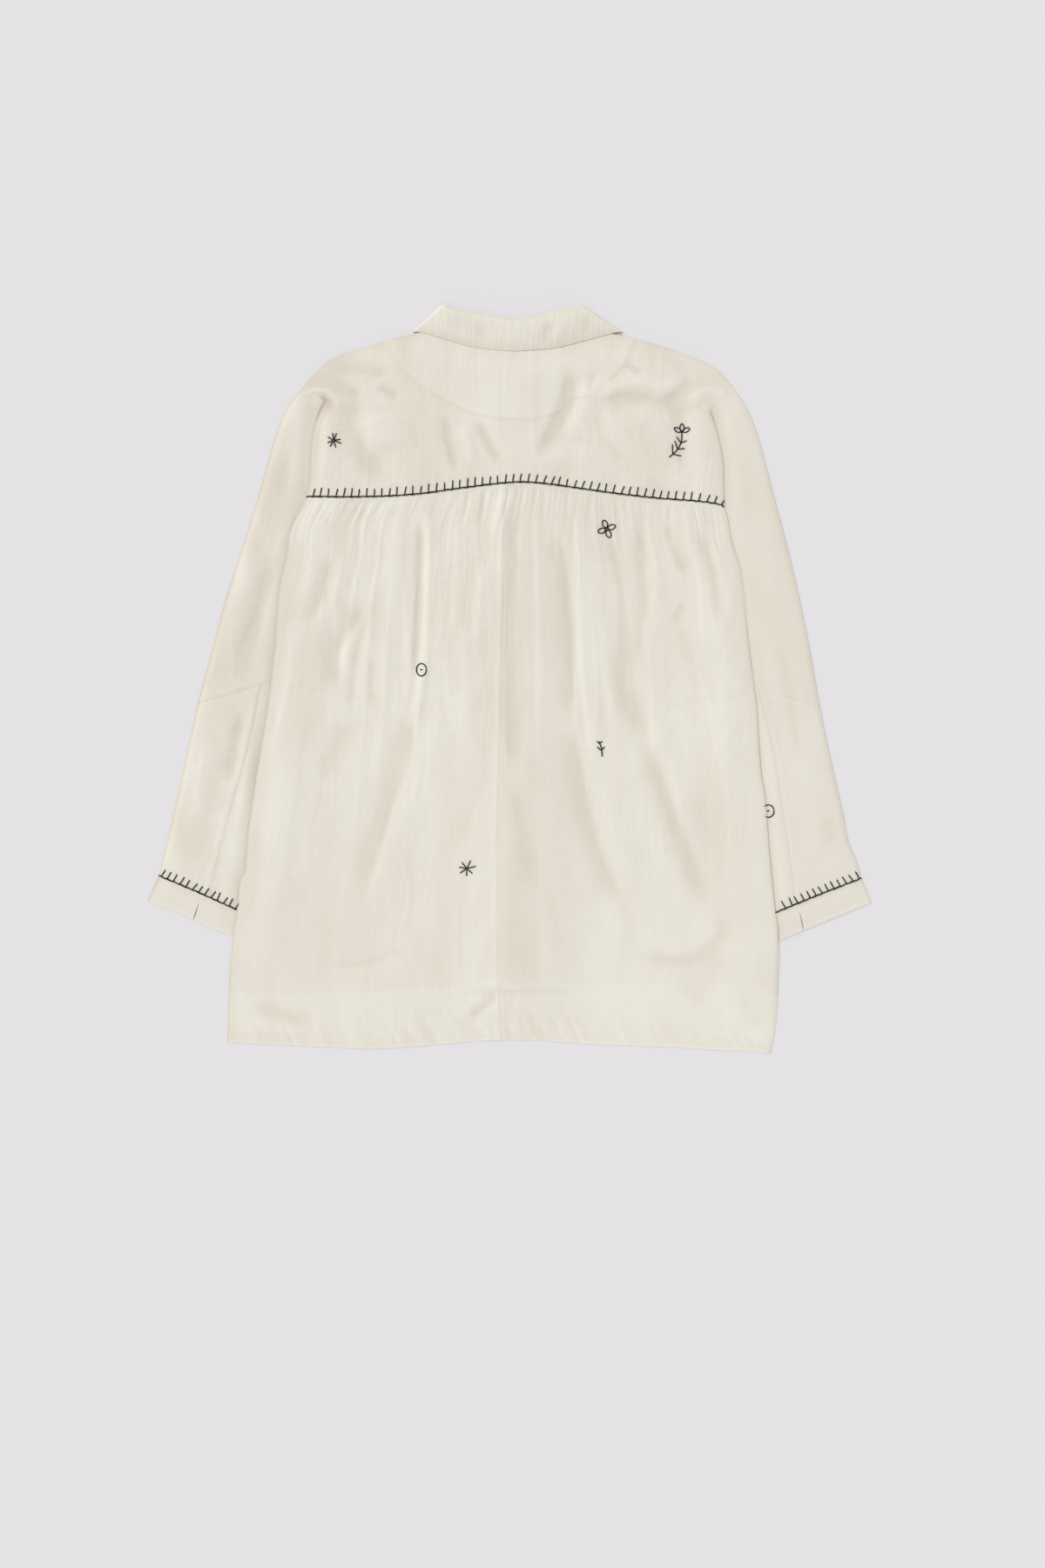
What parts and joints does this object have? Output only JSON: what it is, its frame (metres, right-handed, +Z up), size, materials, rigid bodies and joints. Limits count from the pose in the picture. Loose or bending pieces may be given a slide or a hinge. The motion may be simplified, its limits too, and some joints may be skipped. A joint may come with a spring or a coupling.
{
  "type": "silk shirt",
  "caption": "Loose long silk shirt with yoke, turned-down collar and dropped sleeves, laid flat with its back uppermost.",
  "frame": {"origin": "centre of the laid-out garment's outline, on the surface it lies on", "axes": "+Y from the hem to the collar, +X to the wearer's right, +Z up out of the back"},
  "size_m": [0.7908, 0.8167, 0.0113],
  "materials": {
    "silk": "cream silk crepe with a soft sheen",
    "silk_inside": "cream silk, inner side",
    "button_shell": "polished cream shell"
  },
  "bodies": {
    "root": {"yoke": "silk", "back_left": "silk", "back_right": "silk", "front_left": "silk", "front_right": "silk", "collar_leaf": "silk", "upper_sleeve_left": "silk", "upper_sleeve_right": "silk", "lower_sleeve_left": "silk", "lower_sleeve_right": "silk", "under_sleeve_left": "silk", "under_sleeve_right": "silk", "cuff_left": "silk", "cuff_right": "silk", "neck_facing": "silk_inside", "collar_stand": "silk_inside", "button_1": "button_shell", "button_2": "button_shell", "button_3": "button_shell", "button_4": "button_shell", "button_5": "button_shell", "button_6": "button_shell", "button_7": "button_shell"}
  },
  "joints": []
}
